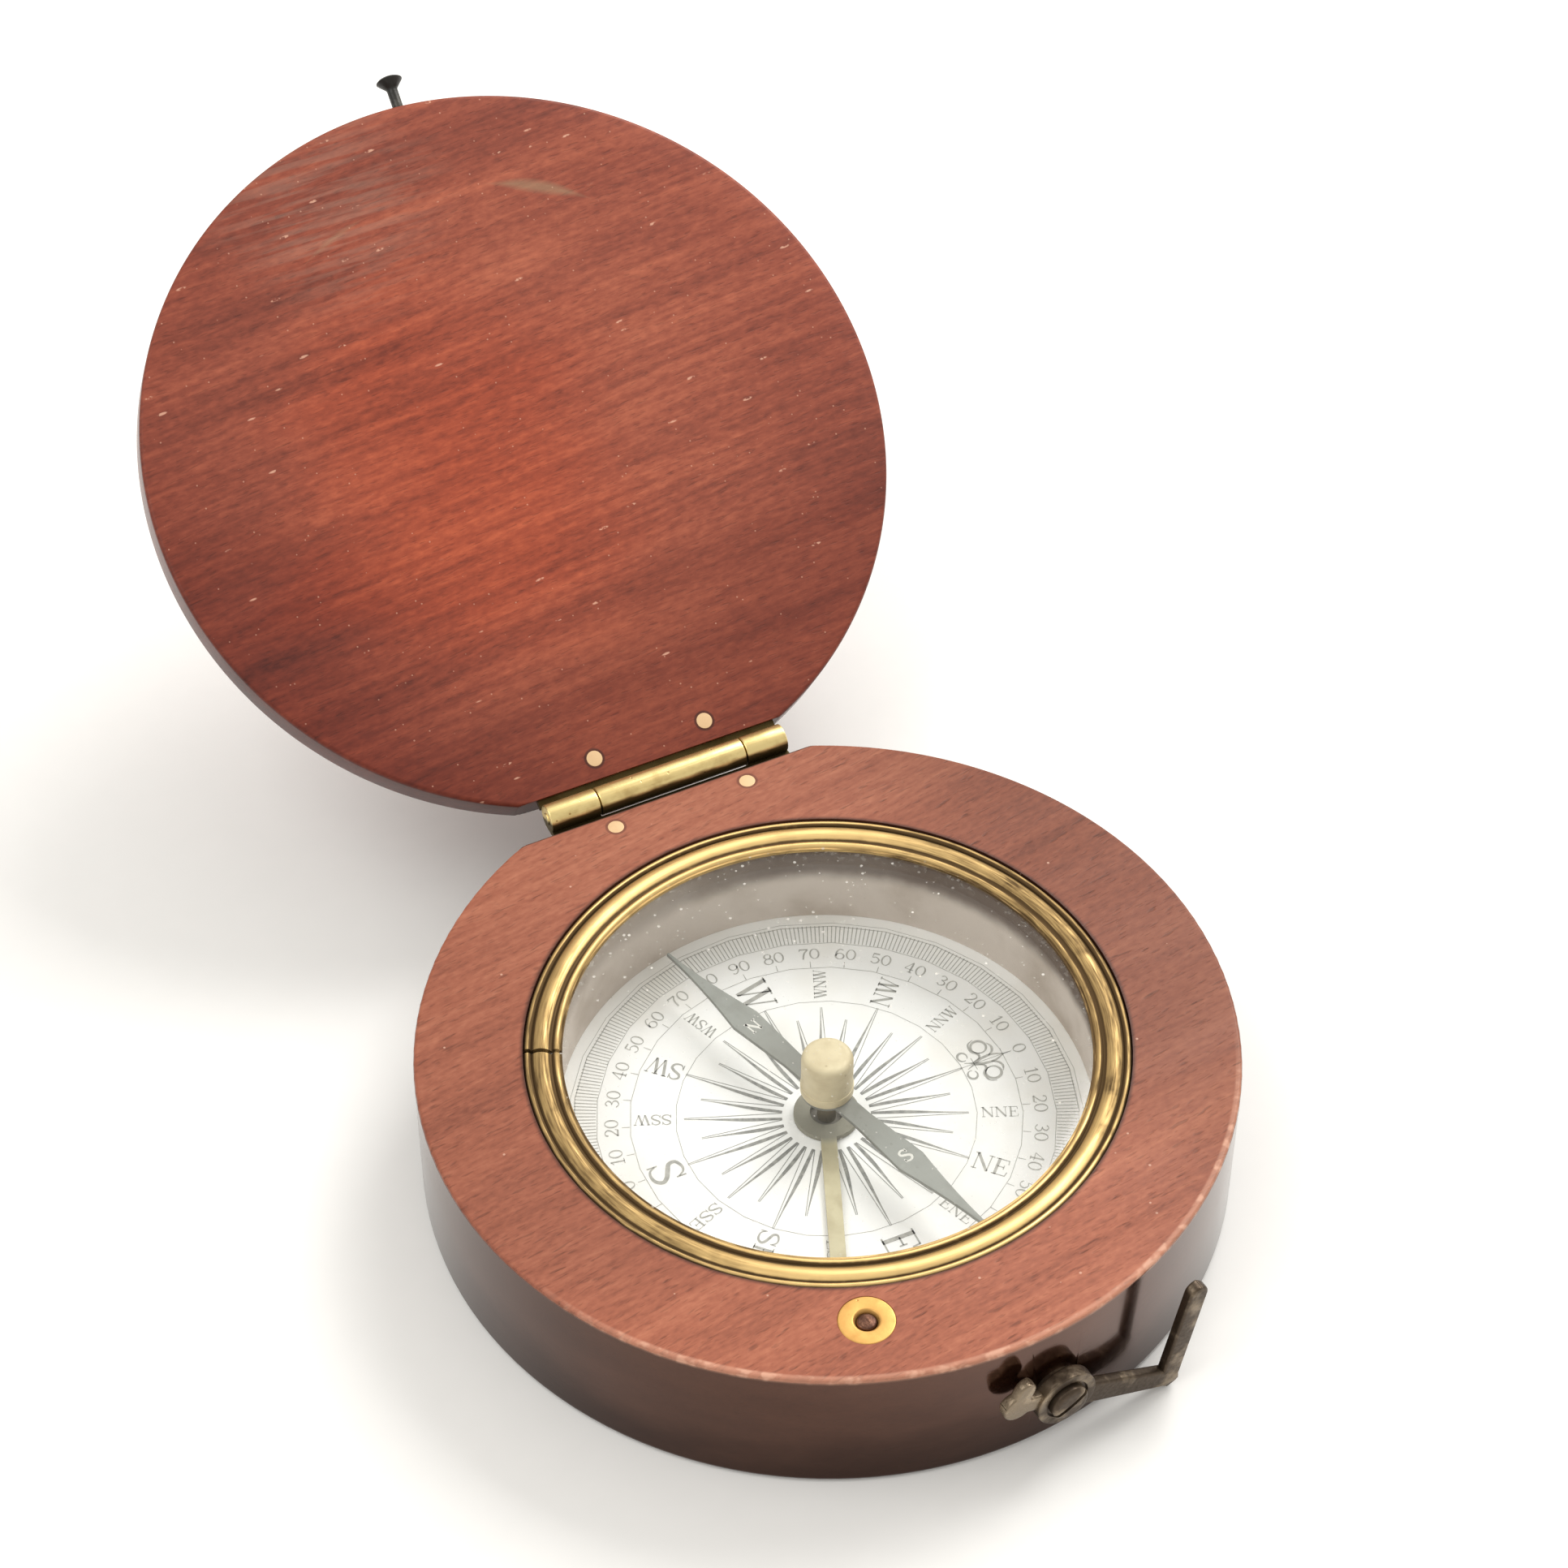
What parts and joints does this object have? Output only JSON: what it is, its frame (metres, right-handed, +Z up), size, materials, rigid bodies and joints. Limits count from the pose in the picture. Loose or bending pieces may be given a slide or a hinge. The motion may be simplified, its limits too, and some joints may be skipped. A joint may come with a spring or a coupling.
{
  "type": "round box compass",
  "caption": "Round wooden pocket compass with hinged lid, side hook latch, brass bezel over a glazed printed card, pivoted steel needle and a needle lifter worked by a button",
  "frame": {"origin": "centre of the round case's flat underside, on the surface that it stands on", "axes": "+Z up, +Y from the front with the hook towards the hinge and the open lid, +X to the right as seen from the front"},
  "size_m": [0.082, 0.158, 0.0572],
  "materials": {
    "mahogany_case": "worn oil and wax finish, straight grain with dark flecks",
    "mahogany_lid": "worn oil and wax finish, fine straight grain",
    "lining_paper": "matt, aged grey-white",
    "dial_card": "white card with fine grey engraving",
    "inner_brass": "satin, pale",
    "pivot_steel": "satin",
    "cover_glass": "clear, slightly dusty",
    "bezel_brass": "old lacquer, darker in the grooves",
    "eyelet_brass": "bright satin",
    "hinge_brass": "drawn tube, worn bright",
    "pin_brass": "filed flush, pale",
    "dark_metal": "blackened, worn grey-brown",
    "needle_steel": "satin grey",
    "jewel_stone": "polished",
    "button_brass": "dark brown tarnish"
  },
  "bodies": {
    "case": {"case_body": "mahogany_case", "lining_ring": "lining_paper", "compass_card": "dial_card", "pivot_post": "inner_brass", "pivot_point": "pivot_steel", "glass": "cover_glass", "bezel_ring": "bezel_brass", "lock_eyelet": "eyelet_brass", "lever_pin": "pivot_steel", "case_hinge_leaf": "hinge_brass", "case_leaf_pins": "pin_brass", "hinge_wire": "hinge_brass", "hook_washer": "dark_metal", "hook_screw": "dark_metal"},
    "lid": {"lid_panel": "mahogany_lid", "lid_hinge_leaf": "hinge_brass", "lid_leaf_pins": "pin_brass", "catch_pin": "dark_metal"},
    "compass_needle": {"needle": "needle_steel", "needle_cap": "inner_brass", "cap_jewel": "jewel_stone"},
    "button": {"lock_button": "button_brass"},
    "lifter": {"lifter_lever": "inner_brass"},
    "side_hook": {"hook": "dark_metal"}
  },
  "joints": [
    {"name": "lid_hinge", "type": "hinge", "parent": "case", "child": "lid", "pos_m": [0, 0.03957, 0.01645], "axis": [1, 0, 0], "range_deg": [-29.9, 150.1]},
    {"name": "needle_spin", "type": "hinge", "parent": "case", "child": "compass_needle", "pos_m": [0, 0, 0.0129], "axis": [0, 0, 1], "continuous": true},
    {"name": "button_press", "type": "slide", "parent": "case", "child": "button", "axis": [0, 0, -1], "range_m": [0, 0.000386]},
    {"name": "lever_tilt", "type": "hinge", "parent": "case", "child": "lifter", "pos_m": [-0.01163, -0.02766, 0.00585], "axis": [0.9219, -0.3875, 0], "range_deg": [0, 5.46]},
    {"name": "hook_swing", "type": "hinge", "parent": "case", "child": "side_hook", "pos_m": [0.00404, -0.04201, 0.0076], "axis": [0.0958, -0.9954, 0], "range_deg": [0, 114.1]}
  ],
  "couplings": [
    {"joint": "lever_tilt", "follows": "button_press", "rad_per_m": 246.5}
  ]
}
